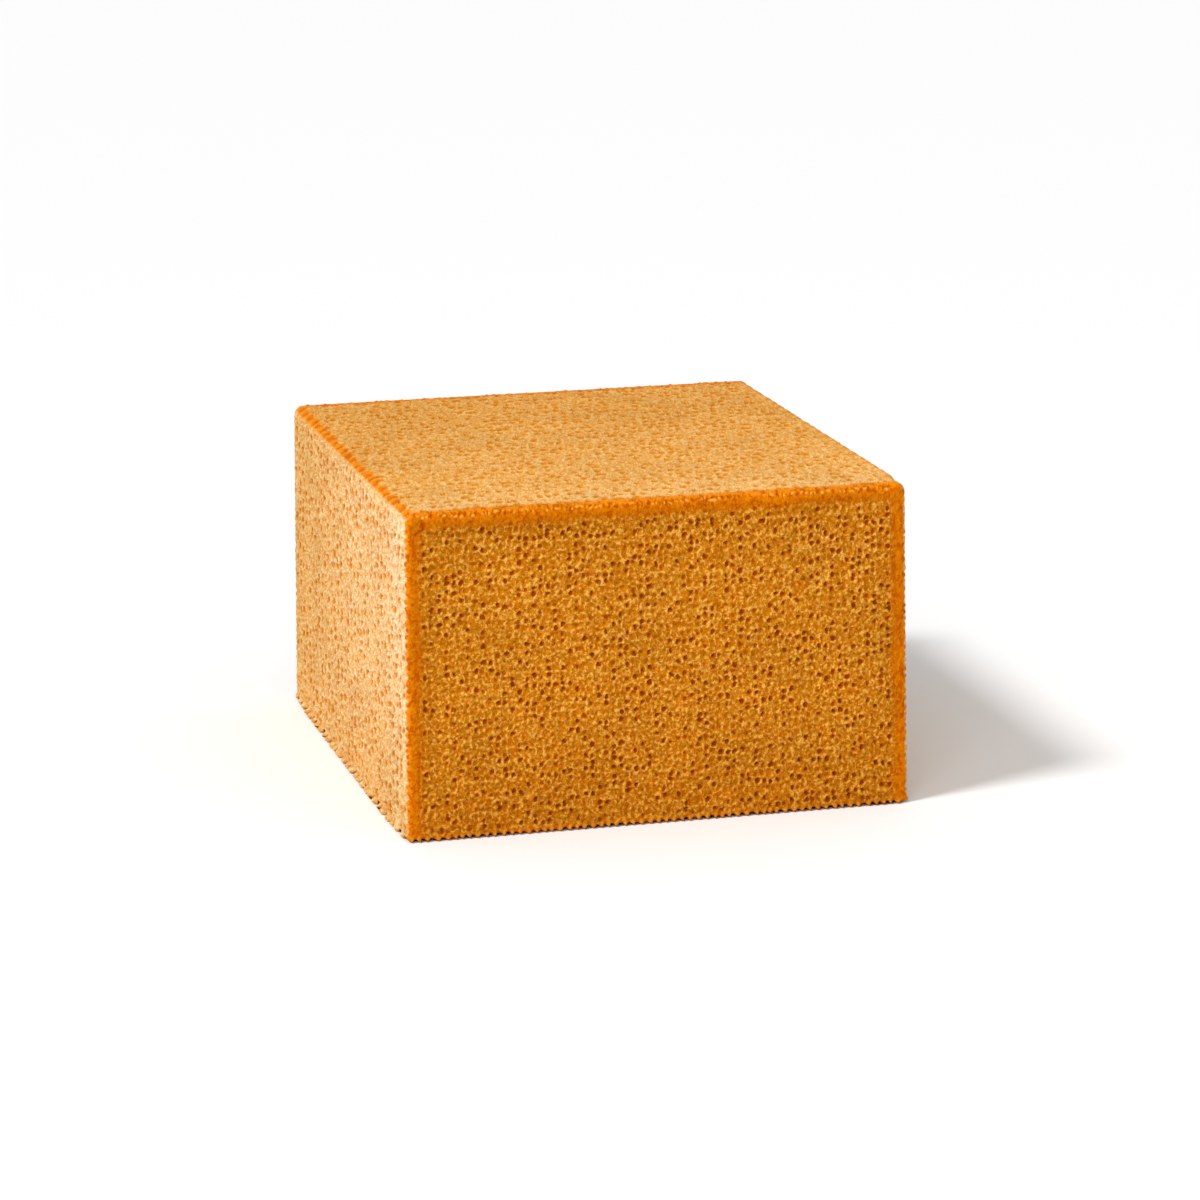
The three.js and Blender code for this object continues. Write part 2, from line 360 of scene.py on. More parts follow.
lying = lie(size["Pore spacing"], size["Seed"])
bend = shift(pattern, out(cloud(lying, 1.3), 1), (-0.5, -0.5, -0.5))
bent = shift(pattern, lying, stretch(pattern, bend, 0.5))
pores = cells(bent, size["Scatter"])
wall = out(cells(bent, size["Scatter"], "DISTANCE_TO_EDGE")).ease(0.17, 0.02)
draw, other_draw, _ = axes_of(pattern, out(pores, 1))
shut_share = size["Open share"].rest_of()
openness = draw.ease(shut_share - 0.25, shut_share + 0.35)
reach = (size["Wide pore"] - size["Narrow pore"]) * openness + size["Narrow pore"]
near = out(pores) / reach
hole = near.ease(1.0, 0.4)
# The pores' painted shade spreads a little past their holes.
pore_shade = (near / size["Shade reach"]).ease(1.0, 0.4)
lip = near.ease(2.0, 1.35) * near.ease(0.9, 1.2) * openness
dimple = out(pores).ease(0.58, 0.1) * (other_draw * 0.7 + 0.3)
knot_lying = lie(size["Knot spacing"], size["Seed"] + 9)
knots = cells(shift(pattern, knot_lying, stretch(pattern, bend, 0.9)), 0.95)
knot_draw, _, _ = axes_of(pattern, out(knots, 1))
raised = out(knots).ease(0.58, 0.06) * (knot_draw * 0.75 + 0.25)
raised = (raised * 0.5 + wall * 0.4 + lip * 0.25) * (hole * (openness * 0.8 + 0.2)).rest_of()
swell = out(cloud(lying, 0.35, 2.0)) - 0.5
relief = raised * size["Knot height"] * 1.6 - hole * openness * size["Pore depth"]
relief = relief - dimple * size["Dimple depth"] + swell * size["Swell"]
leave = pattern.nodes.new("NodeGroupOutput")
feed(pattern, leave.inputs["Relief"], relief)
# The Pore output is where painted shade darkens the pores and dimples.
feed(pattern, leave.inputs["Pore"], pore_shade * (openness * 0.8 + 0.2) + dimple * 0.25)
# The Knot output is where painted highlights go on the raised crumb.
feed(pattern, leave.inputs["Knot"], raised.ease(0.18, 0.85))


# ---- The skin of the whole cake ----
# The rim browns first against the tin, and it bakes into rounded beads: fine ones on the uprights,
# along the top's front and back and round the base, and long ribs on the top's long sides. One
# recipe gives every piece of the cake its pores, beads and browning, so that no joint shows.
low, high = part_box("cake")
# The cake's sides lean in a little towards the top. Every piece of it is laid out on a straight
# block, as wide as the top, and is flared last.
FLARE = 1.6 * MM
HALF_WIDTH = (high.x - low.x) / 2 - FLARE
HALF_DEPTH = (high.y - low.y) / 2 - FLARE
HEIGHT = high.z - low.z
RIM_SIZES = {
    "Upright bead": 2.9 * MM, "Cross bead": 2.3 * MM, "Base bead": 3.2 * MM, "Rib": 9.2 * MM,
    "Side bead": 7.8 * MM, "Bead height": 0.50 * MM, "Bead groove": 0.28 * MM, "Base dip": 0.8 * MM,
    "Base lift": 0.5 * MM, "Toe": 1.8 * MM, "Foot": 0.9 * MM, "Lobe height": 0.25 * MM,
    "Rib dip": 1.1 * MM, "Corner bead": 3.3 * MM, "Corner height": 0.40 * MM,
    "Corner fold": 0.55 * MM, "Far lift": 0.8 * MM, "Right swell": 0.6 * MM, "Roughness": 0.20 * MM,
}
# How far the beads, the ribs and the rim's inner border stray, and over what lengths they do so.
WANDER_SIZE = 11 * MM
VARIED_SIZE = 5 * MM
COARSE_SIZE = 2.2 * MM
BEAD_DRIFT = 7 * MM
RIB_DRIFT = 4 * MM
RIM_DRIFT = 3 * MM
RIM_RAGGEDNESS = 1.6 * MM
CORNER_DRIFT = 4 * MM
CORNER_RAGGEDNESS = 3.2 * MM
# What is stronger on the left fades within this distance of the cake's middle.
LEFT_REACH = 20 * MM
RIGHT_PORE_LOSS = 0.38
RIGHT_FRONT_LIGHT_LOSS = 0.9

skinning = bpy.data.node_groups.new("Cake_skin", "GeometryNodeTree")
skinning.interface.new_socket("Geometry", in_out="INPUT", socket_type="NodeSocketGeometry")
skinning.interface.new_socket("Geometry", in_out="OUTPUT", socket_type="NodeSocketGeometry")
skinning.interface.new_socket("Finish", in_out="INPUT", socket_type="NodeSocketMaterial")
for label, value in RIM_SIZES.items():
    made = skinning.interface.new_socket(label, in_out="INPUT", socket_type="NodeSocketFloat")
    made.default_value = value
entry = skinning.nodes.new("NodeGroupInput")
size = {socket.name: Strand(skinning, socket) for socket in entry.outputs if socket.name}


def read(name, kind="FLOAT"):
    """A value that was stored on the piece's own points."""
    return out(grow(skinning, "GeometryNodeInputNamedAttribute", {"Name": name}, data_type=kind))


def clouds(scale, detail):
    inputs = {"Vector": place, "Scale": 1 / scale, "Detail": detail}
    return out(grow(skinning, "ShaderNodeTexNoise", inputs))


place = out(grow(skinning, "GeometryNodeInputPosition"))
outwards = read("outwards", "FLOAT_VECTOR")
x, y, z = axes_of(skinning, place)
lean_x, lean_y, lean_z = axes_of(skinning, outwards)
right_side = lean_x.most(0.0)
from_side = (x.size() * -1) + HALF_WIDTH
from_front = (y.size() * -1) + HALF_DEPTH
from_top = (z * -1) + HEIGHT
wander = clouds(WANDER_SIZE, 1.0)
coarse = clouds(COARSE_SIZE, 2.0)
varied = clouds(VARIED_SIZE, 1.0)


def off_bead(along, pitch, seed):
    """How far a place lies along the edge from the middle of its bead, and the bead's own chance."""
    count = along / pitch + wander * 1.6 + seed
    chance = grow(skinning, "ShaderNodeTexWhiteNoise", {"W": count.calc("FLOOR")}, noise_dimensions="1D")
    return (count.calc("FRACT") - 0.5) * pitch, out(chance)


def up_to(distance, full, none):
    """One within some millimetres of an edge, and nothing further away."""
    return distance.ease(none * MM, full * MM)


def on_left(on_right):
    """One on the left of the cake, and a lower number on its right."""
    return x.ease(LEFT_REACH, -LEFT_REACH, on_right, 1.0)


def round_bead(row, pitch, across, middle):
    """One at the middle of a round bead, which lies some millimetres in, and nothing beyond it."""
    off, chance = row
    other_chance = (chance * 7.3).calc("FRACT")
    beside = off + (other_chance - 0.5) * (1.0 * MM)
    over = (across - (chance * 1.1 + (middle - 0.55)) * MM) * 1.25
    to_middle = (beside * beside + over * over).calc("SQRT")
    return to_middle.ease(pitch * 0.50, pitch * 0.12) * (other_chance * 0.6 + 0.5)


# Round beads stand in a groove along the top's front and back, and on the flanks of the uprights.
# Spots of painted shade part those of the top.
cross_zone = up_to(from_front, 1.8, 3.2)
cross_row = off_bead(x + (varied - 0.5) * BEAD_DRIFT, size["Cross bead"], seed=3)
cross_beads = round_bead(cross_row, size["Cross bead"], from_top, 1.3) * cross_zone
cross_shade_spots = (cross_row[0].size() / size["Cross bead"] * 2).ease(0.35, 0.85) * cross_zone
spot_height = from_top + (cross_row[1] - 0.5) * (0.8 * MM)
cross_shade_spots = cross_shade_spots * spot_height.ease(0.4 * MM, 1.0 * MM) * up_to(spot_height, 1.5, 2.4)
cross_shade_spots = cross_shade_spots * coarse.ease(0.34, 0.50, 0.3, 1.0)
cross_groove = from_top.ease(0.5 * MM, 1.0 * MM) * up_to(from_top, 1.6, 2.4) * cross_zone
cross_groove = cross_groove * coarse.ease(0.40, 0.55, 0.35, 1.0)
upright_zone = up_to(from_side, 1.8, 3.2) * up_to(from_front, 3.4, 4.6)
upright_row = off_bead(z, size["Upright bead"], seed=17)
upright_beads = round_bead(upright_row, size["Upright bead"], from_front, 1.6) * upright_zone
upright_groove = from_front.ease(0.4 * MM, 1.1 * MM) * up_to(from_front, 2.4, 3.4) * upright_zone
round_beads = cross_beads.most(upright_beads)
groove = cross_groove.most(upright_groove)

# Scallops round the base and ribs on the top's long sides are parted by narrow gaps. The gaps
# between the scallops are painted with shade.
base_off, _ = off_bead(x, size["Base bead"], seed=31)
base_gap = base_off.size() / size["Base bead"] * 2
base_gaps = base_gap.calc("POWER", 2.0) * up_to(z, 0.9, 2.2) * up_to(from_front, 1.6, 4.2)
side_off, _ = off_bead(y, size["Side bead"], seed=43)
side_gap = side_off.size() / size["Side bead"] * 2
side_gaps = side_gap.calc("POWER", 1.8) * up_to(z, 1.2, 2.6) * up_to(from_side, 1.6, 4.2)
rib_off, rib_chance = off_bead(y, size["Rib"], seed=59)
rib_gap = rib_off.size() / size["Rib"] * 2
rib_length = (varied - 0.5) * RIB_DRIFT
rib_zone = up_to(from_side + rib_length, 3.2, 4.8) * up_to(from_top, 1.2, 2.6)
rib_gaps = rib_gap.calc("POWER", 2.4) * rib_zone
gap_share = varied.ease(0.35, 0.65, 0.7, 1.25)
drawn_in = rib_gaps * size["Rib dip"] * gap_share * on_left(0.3)
base_dip = size["Base dip"] * gap_share
toes = side_gap.ease(0.64, 0.14) * up_to(z, 1.5, 3.4) * up_to(from_side, 1.6, 3.4)
toes = toes * from_front.ease(0.0, 36 * MM, 0.30, 1.0)
outwards_x = x.calc("SIGN") * (toes * size["Toe"] - side_gaps * base_dip * 0.6)
feet = base_gap.ease(0.60, 0.20) * up_to(z, 0.6, 1.8) * up_to(from_front, 1.6, 3.4)
outwards_y = y.calc("SIGN") * (feet * size["Foot"] - base_gaps * base_dip * 0.5)
# The front-facing flank of each rib is painted with shade.
shaded_rib_flank = (rib_off / size["Rib"]).ease(-0.02, -0.34) * rib_gap.ease(1.0, 0.8) * rib_zone
gaps = (shaded_rib_flank * 0.55).most(base_gaps).most(side_gaps)
front_lobes = base_gap.rest_of().ease(0.3, 0.9) * up_to(from_front, 1.0, 2.6)
side_lobes = side_gap.rest_of().ease(0.3, 0.9) * up_to(from_side, 1.0, 2.6)
at_base = z.ease(0.3 * MM, 1.0 * MM) * up_to(z, 1.8, 3.2)
# The cake stands on the scallops, and between them its lower edge arches clear of the floor.
arches = base_gap.ease(0.25, 0.85) * up_to(from_front, 1.6, 3.4)
arches = arches.most(side_gap.ease(0.35, 1.0) * up_to(from_side, 1.6, 3.4))
lifted = arches * z.ease(3.4 * MM, 0.3 * MM) * size["Base lift"] * gap_share
# The gaps under the arches are painted with a dark shadow.
front_painted_shadow = (z - base_gap.ease(0.15, 0.60) * gap_share * (1.15 * MM)).ease(0.25 * MM, -0.15 * MM)
side_painted_shadow = (z - side_gap.ease(0.36, 0.68) * gap_share * (1.80 * MM)).ease(0.25 * MM, -0.15 * MM)
painted_shadow = (front_painted_shadow * lean_y.size().ease(0.1, 0.3)).most(side_painted_shadow * lean_x.size().ease(0.1, 0.3))

# A larger bead sits at each upper corner of the front and back, with a fold around it.
corner_side = from_side - 3.6 * MM + (varied - 0.5) * CORNER_DRIFT
corner_top = from_top - 3.9 * MM + (coarse - 0.5) * CORNER_RAGGEDNESS
to_corner = (corner_side * corner_side + corner_top * corner_top).calc("SQRT")
at_corner = up_to(from_front, 1.6, 3.4) * on_left(0.35)
corner_dome = to_corner.ease(size["Corner bead"] * 1.1, size["Corner bead"] * 0.2) * at_corner
corner_fold = (to_corner - size["Corner bead"] * 1.15).size().ease(1.1 * MM, 0.1 * MM) * at_corner
corner_fold = corner_fold * corner_side.least(corner_top + 1.5 * MM).ease(-1.5 * MM, 1.5 * MM)
by_corner = to_corner.ease(size["Corner bead"], size["Corner bead"] * 1.2)
round_beads = round_beads * by_corner
groove = groove * by_corner

# Each face's crumb starts where its rim ends. On the rounding between two faces they fade over.
side_full = from_top.least(z).least(from_front).ease(1.8 * MM, 4.6 * MM)
open_full = from_side.least(from_top).least(z + 3.2 * MM).ease(4.6 * MM, 7.4 * MM)
top_full = from_side.ease(3.2 * MM, 6.6 * MM) * from_front.ease(2.6 * MM, 5.4 * MM)
KINDS = (
    (lean_x, SIDE_FACE, y, z + y * SIDE_SKEW, (11.0, 83.0), side_full),
    (lean_y, OPEN_FACE, x, z, (3.0, 57.0), open_full),
    (lean_z, TOP_FACE, y, x - y * TOP_SKEW, (29.0, 29.0), top_full),
)
parts_of_kinds = []
for lean, sizes, along, upwards, seeds, full in KINDS:
    inputs = {"Along": along, "Upwards": upwards, "Seed": lean.ease(-0.1, 0.1, *seeds), **sizes}
    made = grow(skinning, "GeometryNodeGroup", None, node_tree=pattern)
    for label, value in inputs.items():
        feed(skinning, made.inputs[label], value)
    share = (lean * lean).ease(0.3, 0.8) * full
    parts_of_kinds.append([out(made, part) * share for part in ("Relief", "Pore", "Knot")])
crumb_relief, crumb_pore, crumb_knot = [side + front + top for side, front, top in zip(*parts_of_kinds)]

# How far each place stands out. The top's back and right edges have risen a little. The underside
# has taken the flatness of the tin's base, so it has no relief.
uneven = (coarse - 0.5) * size["Roughness"] * 2
rise = crumb_relief + uneven - drawn_in + round_beads * size["Bead height"] - groove * size["Bead groove"]
rise = rise + corner_dome * size["Corner height"] - corner_fold * size["Corner fold"]
rise = rise + front_lobes.most(side_lobes) * at_base * size["Lobe height"]
far_edges = right_side * lean_z.most(0.0) * y.ease(-108 * MM, -92 * MM)
far_edges = far_edges.most(lean_y.most(0.0) * lean_z.most(0.0)) * 2
rise = rise + far_edges * far_edges * size["Far lift"] + right_side * size["Right swell"]
rise = rise * read("shown") * lean_z.ease(-0.95, -0.6) - read("sunk")
moved = grow(skinning, "GeometryNodeSetPosition", {"Geometry": size["Geometry"]})
drawn_base = point_of(skinning, outwards_x, outwards_y, lifted)
feed(skinning, moved.inputs["Offset"], shift(skinning, stretch(skinning, outwards, rise), drawn_base))

# How browned each place is, and how far in from the edge the browning has got.
edge_wander = (wander - 0.5) * RIM_DRIFT + (coarse - 0.5) * RIM_RAGGEDNESS
front_share = lean_y * lean_y
top_share = lean_z * lean_z
to_edge = from_side.least(from_top).least(z + 4.0 * MM)
lobed = front_share + (upright_beads - 0.4) * up_to(from_side, 1.8, 3.2) * 0.35
browned = (to_edge + edge_wander).ease(7.4 * MM, 4.4 * MM) * lobed.ease(0.16, 0.46)
over_top = (from_front + edge_wander * 0.7).ease(7.2 * MM, 2.4 * MM) * top_share.ease(0.12, 0.5)
browned = browned.most(over_top)
from_left = x + HALF_WIDTH + edge_wander * 0.5
inner = (to_edge + edge_wander).ease(1.2 * MM, 5.0 * MM)
inner = inner.most(from_left.ease(0.5 * MM, 3.0 * MM) * up_to(from_left, 5.0, 8.0))
# The ribs' own orange band is widest at the middle of each rib.
rib_reach = from_side + rib_length + edge_wander * 0.3 + rib_gap * rib_gap * (1.4 * MM)
rib_band = rib_reach.ease(5.2 * MM, 3.6 * MM) * top_share.ease(0.24, 0.50) * on_left(0.0)
rib_band = rib_band * rib_gap.ease(0.98, 0.62, 0.25, 1.0)
# Painted light makes the skin paler near the front, and painted shade deepens it towards the back
# and the base. The open faces are deepened by painted shade towards their base, and are darker near
# their rim, most of all on the left.
painted_front_light = from_front.ease(44 * MM, 10 * MM) * front_share.rest_of() * y.ease(0.0, -1 * MM)
deepening_and_painted_shade = (y / HALF_DEPTH).ease(-0.9, 1.0).most(z.ease(100 * MM, 0.0) * 0.8) * front_share.rest_of()
by_rim = to_edge.ease(15 * MM, 6 * MM) * x.ease(20 * MM, -70 * MM, 0.45, 1.1)
base_shade = z.ease(60 * MM, 0.0) * 0.7 + z.ease(7 * MM, 2 * MM) * 0.5
deepening_and_painted_shade = deepening_and_painted_shade + base_shade.most(by_rim) * front_share
# The ribs, the beads of the uprights and the scallops have pale tips of painted highlight.
rib_over = from_top - 2.2 * MM
rib_tip = (rib_off * rib_off * 0.20 + rib_over * rib_over).calc("SQRT").ease(1.1 * MM, 0.4 * MM)
tip_highlights = rib_tip * up_to(from_side, 1.2, 2.0) * (rib_chance * 0.6 + 0.5)
tip_highlights = tip_highlights.most((upright_zone * upright_beads.ease(0.5, 0.1)) * 0.9)
tip_highlights = tip_highlights.most(side_lobes * at_base * 0.8)
# On the right side the painted shade in the pores and the painted light near the front are fainter.
crumb_pore = crumb_pore * (right_side * RIGHT_PORE_LOSS).rest_of()
marks = {
    # Painted shade in the pores, the scallops' gaps, the ribs' front flanks, the spots between the top's
    # beads and the corner folds.
    "pore": (crumb_pore + gaps + cross_shade_spots * by_corner + corner_fold * 0.8).least(1.0),
    # The knot mark: painted highlights on knots, walls and tips, and on scattered pale patches.
    "knot": (crumb_knot + coarse.ease(0.5, 0.75) * 0.2).most(tip_highlights).least(1.0),
    "painted_front_light": painted_front_light * (top_share * 0.10 + 0.35) * (right_side * RIGHT_FRONT_LIGHT_LOSS).rest_of(),
    "side_share": lean_x * lean_x,
    "top_share": top_share,
    "browned": browned,
    "inner": inner,
    "ribbed": rib_band,
    "deep_and_painted_shade": deepening_and_painted_shade.least(1.0),
    # The tip mark: painted highlights on the top's beads and on the front scallops.
    "tip": ((cross_beads * by_corner).ease(0.35, 0.90) * 0.95).most(front_lobes * at_base * 0.32),
    "painted_shadow": painted_shadow * z.ease(3 * MM, 2 * MM),
}
geometry = out(moved)
for label, value in marks.items():
    inputs = {"Geometry": geometry, "Name": label, "Value": value}
    made = grow(skinning, "GeometryNodeStoreNamedAttribute", inputs, data_type="FLOAT", domain="POINT")
    geometry = out(made)

# The sides are flared last, and the piece gets its finish.
new_x, new_y, new_z = axes_of(skinning, out(grow(skinning, "GeometryNodeInputPosition")))
down = (new_z / HEIGHT).rest_of()
wider_x = new_x * (down * (FLARE / HALF_WIDTH) + 1)
wider_y = new_y * (down * (FLARE / HALF_DEPTH) + 1)
wider = point_of(skinning, wider_x, wider_y, new_z)
flared = out(grow(skinning, "GeometryNodeSetPosition", {"Geometry": geometry, "Position": wider}))
smooth = out(grow(skinning, "GeometryNodeSetShadeSmooth", {0: flared}))
solid = out(grow(skinning, "GeometryNodeRealizeInstances", {0: smooth}))
coated = out(grow(skinning, "GeometryNodeSetMaterial", {"Geometry": solid, "Material": size["Finish"]}))
feed(skinning, skinning.nodes.new("NodeGroupOutput").inputs[0], coated)


def add_piece(name, points, faces, marks):
    """One piece of the cake: a mesh with marks on its points, given its skin and made plain."""
    mesh = bpy.data.meshes.new(name)
    mesh.from_pydata(points, [], faces)
    for label, values in marks.items():
        kind = "FLOAT_VECTOR" if values.ndim == 2 else "FLOAT"
        field = "vector" if values.ndim == 2 else "value"
        layer = mesh.attributes.new(label, kind, "POINT")
        layer.data.foreach_set(field, values.astype(np.float32).ravel())
    piece = bpy.data.objects.new(name, mesh)
    bpy.context.scene.collection.objects.link(piece)
    made = piece.modifiers.new("skin", "NODES")
    made.node_group = skinning
    for socket in skinning.interface.items_tree:
        if socket.in_out == "INPUT" and socket.name in RIM_SIZES:
            made[socket.identifier] = RIM_SIZES[socket.name]
        if socket.in_out == "INPUT" and socket.name == "Finish":
            made[socket.identifier] = crumb
    plain = bpy.data.meshes.new_from_object(piece.evaluated_get(bpy.context.evaluated_depsgraph_get()))
    piece.modifiers.remove(made)
    piece.data = plain
    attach(piece, "root")
    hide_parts("cake")


# ---- The crust ----
# The rim and the core of the cake are one piece, with a shallow bed in each face for its crumb.
# The crust and the crumb lap over each other by a hair, where each dips below the other.
LOW = np.array([-HALF_WIDTH, -HALF_DEPTH, 0.0])
HIGH = np.array([HALF_WIDTH, HALF_DEPTH, HEIGHT])
RIM_RADIUS = 3.6 * MM
BASE_RIM_HEIGHT = 1.5 * MM
RIM_WIDTH = 4.8 * MM
CRUST_SPACING = 0.54 * MM
ARC_STEPS = 6
BED_DEPTH = 3.0 * MM
HALF_LAP = 1.0 * MM
LAP_DIP = 0.12 * MM
RIM_RADII = {0: (RIM_RADIUS, RIM_RADIUS), 1: (RIM_RADIUS, RIM_RADIUS), 2: (BASE_RIM_HEIGHT, RIM_RADIUS)}


def lap(beyond):
    """How far a piece dips where it reaches beyond its own border, under its neighbour."""
    share = np.clip(beyond / HALF_LAP, 0, 1)
    return LAP_DIP * share * share * (3 - 2 * share)


def lines_along(axis):
    """The grid lines of the shell along one axis: where each lies, and how far it leans outwards."""
    radii = RIM_RADII[axis]
    start, end = LOW[axis] + radii[0], HIGH[axis] - radii[1]
    count = round((end - start) / CRUST_SPACING)
    lean = np.tan(np.linspace(0, math.pi / 4, ARC_STEPS + 1)[1:])
    flat = np.linspace(start, end, count + 1)
    inner = np.concatenate([np.full(ARC_STEPS, start), flat, np.full(ARC_STEPS, end)])
    leans = np.concatenate([-lean[::-1], np.zeros(count + 1), lean])
    return inner, leans


def bed_lines(axis, count):
    """The first and the last grid line of a bed along one axis."""
    beds_start = [RIM_WIDTH + HALF_LAP - radius for radius in RIM_RADII[axis]]
    before, after = [math.ceil(start / CRUST_SPACING) for start in beds_start]
    return before + ARC_STEPS, count - after - ARC_STEPS - 1


def shell_face(axis, side):
    """One face of the shell with half of the rounding on its four sides, and a bed in the middle."""
    across, up = [other for other in range(3) if other != axis]
    (inner_a, lean_a), (inner_u, lean_u) = lines_along(across), lines_along(up)
    rows, columns = len(inner_u), len(inner_a)
    direction = np.zeros((rows, columns, 3))
    direction[..., across] = lean_a[None, :]
    direction[..., up] = lean_u[:, None]
    direction[..., axis] = side
    direction /= np.linalg.norm(direction, axis=2, keepdims=True)
    radius = np.zeros((rows, columns, 3))
    for along in range(3):
        leaning_out = direction[..., along] > 0
        radius[..., along] = np.where(leaning_out, RIM_RADII[along][1], RIM_RADII[along][0])
    middle = np.zeros((rows, columns, 3))
    middle[..., across] = inner_a[None, :]
    middle[..., up] = inner_u[:, None]
    middle[..., axis] = HIGH[axis] - RIM_RADII[axis][1] if side > 0 else LOW[axis] + RIM_RADII[axis][0]
    points = middle + radius * direction
    to_edge = np.minimum(points - LOW, HIGH - points)[..., [across, up]].min(axis=2)
    sunk = lap(to_edge - RIM_WIDTH)
    (left, right), (top, bottom) = bed_lines(across, columns), bed_lines(up, rows)
    inside = np.zeros((rows, columns), bool)
    inside[top:bottom + 1, left:right + 1] = True
    ring = inside.copy()
    ring[top + 1:bottom, left + 1:right] = False
    sunk[ring] = 0.0 if axis == 2 and side < 0 else BED_DEPTH
    number = np.arange(rows * columns).reshape(rows, columns)
    quads = np.stack([number[:-1, :-1], number[:-1, 1:], number[1:, 1:], number[1:, :-1]], axis=2)
    hollow = inside[:-1, :-1] & inside[:-1, 1:] & inside[1:, 1:] & inside[1:, :-1]
    floor = [*number[top, left:right], *number[top:bottom, right],
             *number[bottom, right:left:-1], *number[bottom:top:-1, left]]
    faces = [*quads[~hollow].tolist(), [int(n) for n in floor]]
    turned = np.cross(np.eye(3)[across], np.eye(3)[up])[axis] * side
    if turned < 0:
        faces = [face[::-1] for face in faces]
    return points.reshape(-1, 3), direction.reshape(-1, 3), sunk.ravel(), faces


shell_points, shell_directions, shell_sunk, shell_faces = [], [], [], []
for axis in range(3):
    for side in (-1, 1):
        points, directions, sunk, faces = shell_face(axis, side)
        start = sum(len(done) for done in shell_points)
        shell_points.append(points)
        shell_directions.append(directions)
        shell_sunk.append(sunk)
        shell_faces += [[number + start for number in face] for face in faces]
shell_points = np.concatenate(shell_points)
# The six faces are sewn together along their shared lines, and unused points are dropped.
used = np.unique(np.concatenate([np.array(face) for face in shell_faces]))
_, first, sewn = np.unique(np.round(shell_points[used], 7), axis=0, return_index=True, return_inverse=True)
renumber = np.full(len(shell_points), -1)
renumber[used] = sewn.ravel()
kept = used[first]
add_piece("crust", shell_points[kept], [renumber[face].tolist() for face in shell_faces], {
    "outwards": np.concatenate(shell_directions)[kept],
    "sunk": np.concatenate(shell_sunk)[kept],
    "shown": np.ones(len(kept)),
})


# ---- The crumb of the five faces ----
# Each face's crumb is a slab seated in its bed in the crust, with its pores open to the outside.
# The front's is laid in two halves, so that its mesh can be finer.
SLAB_DEPTH = 3.6 * MM
# Each row holds the axis and the side that the face looks to, which part of how many the slab is,
# and the spacing of its grid across and up the face.
FACES = (
    ("crumb_front_left", 1, -1, 0, 2, 0.36 * MM, 0.36 * MM),
    ("crumb_front_right", 1, -1, 1, 2, 0.36 * MM, 0.36 * MM),
    ("crumb_back", 1, 1, 0, 1, 0.49 * MM, 0.49 * MM),
    ("crumb_left", 0, -1, 0, 1, 0.78 * MM, 0.38 * MM),
    ("crumb_right", 0, 1, 0, 1, 0.78 * MM, 0.38 * MM),
    ("crumb_top", 2, 1, 0, 1, 0.92 * MM, 0.46 * MM),
)


def crumb_slab(name, axis, side, part, parts, *spacings):
    """A slab on one face: its outer side is a fine grid, and its back is one flat face."""
    across, up = {0: (1, 2), 1: (0, 2), 2: (1, 0)}[axis]
    spans, borders = [], []
    for along, spacing, share, shares in ((across, spacings[0], part, parts), (up, spacings[1], 0, 1)):
        length = (HIGH[along] - LOW[along] - 2 * RIM_WIDTH) / shares
        start = LOW[along] + RIM_WIDTH + length * share
        borders.append((start, start + length))
        count = round((length + 2 * HALF_LAP) / spacing) + 1
        spans.append(np.linspace(start - HALF_LAP, start + length + HALF_LAP, count))
    columns, rows = len(spans[0]), len(spans[1])
    front = np.zeros((rows, columns, 3))
    front[..., across] = spans[0][None, :]
    front[..., up] = spans[1][:, None]
    front[..., axis] = HIGH[axis] if side > 0 else LOW[axis]
    front = front.reshape(-1, 3)
    beyond = np.full(len(front), -1.0)
    for along, (start, end) in zip((across, up), borders):
        beyond = np.maximum(beyond, np.maximum(start - front[:, along], front[:, along] - end))
    number = np.arange(rows * columns).reshape(rows, columns)
    quads = np.stack([number[:-1, :-1], number[:-1, 1:], number[1:, 1:], number[1:, :-1]], axis=2)
    loop = np.concatenate([number[0, :-1], number[:-1, -1], number[-1, :0:-1], number[:0:-1, 0]])
    outwards = np.zeros(3)
    outwards[axis] = side
    back = front[loop] - outwards * SLAB_DEPTH
    back_loop = np.arange(len(loop)) + rows * columns
    walls = np.stack([np.roll(loop, -1), loop, back_loop, np.roll(back_loop, -1)], axis=1)
    faces = [*quads.reshape(-1, 4).tolist(), *walls.tolist(), back_loop[::-1].tolist()]
    if np.cross(np.eye(3)[across], np.eye(3)[up])[axis] * side < 0:
        faces = [face[::-1] for face in faces]
    points = np.concatenate([front, back])
    add_piece(name, points, faces, {
        "outwards": np.tile(outwards, (len(points), 1)),
        "sunk": np.concatenate([lap(beyond), np.zeros(len(back))]),
        "shown": np.concatenate([np.ones(len(front)), np.zeros(len(back))]),
    })


for face in FACES:
    crumb_slab(*face)


# ---- The floor ----
# A plain pale studio floor, wide enough that its edge lies beyond every view.
FLOOR_REACH = 6.0
FLOOR_COLOUR = (0.95, 0.95, 0.95)
FLOOR_ROUGHNESS = 0.9
floor_mesh = bpy.data.meshes.new("floor")
floor_corners = [(a * FLOOR_REACH, b * FLOOR_REACH, 0.0) for a, b in ((-1, -1), (1, -1), (1, 1), (-1, 1))]
floor_mesh.from_pydata(floor_corners, [], [(0, 1, 2, 3)])
floor = bpy.data.objects.new("floor", floor_mesh)
bpy.context.scene.collection.objects.link(floor)
paint = bpy.data.materials.new("pale_floor")
paint.use_nodes = True
floor_finish = paint.node_tree.nodes["Principled BSDF"]
floor_finish.inputs["Base Color"].default_value = (*FLOOR_COLOUR, 1.0)
floor_finish.inputs["Roughness"].default_value = FLOOR_ROUGHNESS
floor_mesh.materials.append(paint)


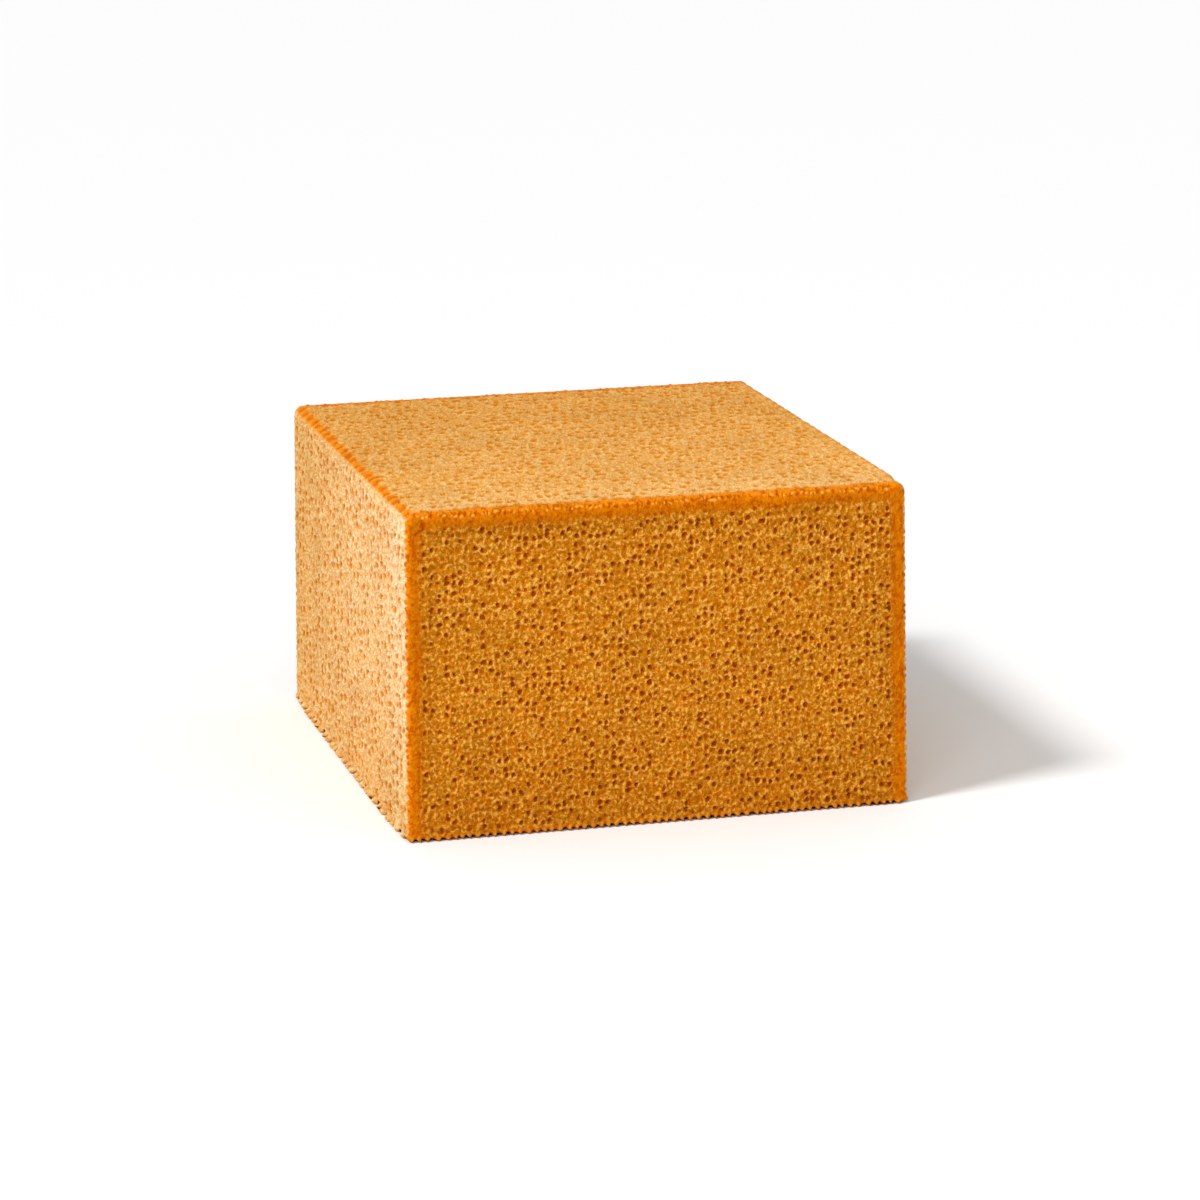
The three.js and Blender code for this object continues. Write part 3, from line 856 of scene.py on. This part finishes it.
# ---- The light ----
# A broad, distant lamp shines softly from the upper left, a softbox stands close to the front
# left, and white walls fill the rest.
WALL_LIGHT = 0.55
LAMP_PLACE = (-2.0, -1.0, 3.0)
LAMP_TOWARDS = (0.588, 0.196, -0.784)
LAMP_STRENGTH = 2.0
LAMP_ANGLE = 12.0
SOFTBOX_PLACE = (-0.45, -1.05, 0.72)
SOFTBOX_STRENGTH = 3.0
SOFTBOX_WIDTH = 0.5
scene = bpy.context.scene
walls = bpy.data.worlds.new("white_walls")
walls.use_nodes = True
room = walls.node_tree
room.nodes.clear()
seen_wall = grow(room, "ShaderNodeBackground", {0: (1.0, 1.0, 1.0, 1.0), 1: 1.0})
lit_wall = grow(room, "ShaderNodeBackground", {0: (1.0, 1.0, 1.0, 1.0), 1: WALL_LIGHT})
chosen = grow(room, "ShaderNodeMixShader", {0: out(grow(room, "ShaderNodeLightPath"), 0)})
room.links.new(lit_wall.outputs[0], chosen.inputs[1])
room.links.new(seen_wall.outputs[0], chosen.inputs[2])
world_end = grow(room, "ShaderNodeOutputWorld")
room.links.new(chosen.outputs[0], world_end.inputs[0])
scene.world = walls


def add_lamp(name, kind, place, towards, energy):
    data = bpy.data.lights.new(name, kind)
    data.energy = energy
    lamp = bpy.data.objects.new(name, data)
    lamp.location = place
    lamp.rotation_mode = "QUATERNION"
    lamp.rotation_quaternion = towards.to_track_quat("-Z", "Y")
    scene.collection.objects.link(lamp)
    return data


middle = (low + high) / 2
towards = high.copy()
towards.x, towards.y, towards.z = LAMP_TOWARDS
distant_lamp = add_lamp("distant_lamp", "SUN", LAMP_PLACE, towards, LAMP_STRENGTH)
distant_lamp.angle = math.radians(LAMP_ANGLE)
softbox_place = high.copy()
softbox_place.x, softbox_place.y, softbox_place.z = SOFTBOX_PLACE
softbox = add_lamp("softbox", "AREA", softbox_place, middle - softbox_place, SOFTBOX_STRENGTH)
softbox.size = SOFTBOX_WIDTH


# ---- The camera ----
# The photograph was taken from the front and a little from the left, from above the top.
CAMERA_PLACE = (-0.4307, -1.6839, 0.4834)
CAMERA_YAW = 14.529
CAMERA_PITCH = 13.613
CAMERA_ROLL = 0.449
CAMERA_LENS = 131.40
CAMERA_SENSOR = 36.0
lens = bpy.data.cameras.new("camera")
lens.sensor_width = CAMERA_SENSOR
lens.lens = CAMERA_LENS
lens.clip_start = 0.05
lens.clip_end = 50.0
camera = bpy.data.objects.new("camera", lens)
camera.location = CAMERA_PLACE
camera.rotation_mode = "XYZ"
camera.rotation_euler = (math.radians(90 - CAMERA_PITCH), 0.0, math.radians(-CAMERA_YAW))
camera.rotation_euler.rotate_axis("Z", math.radians(-CAMERA_ROLL))
scene.collection.objects.link(camera)
scene.camera = camera
scene.view_settings.view_transform = "Standard"
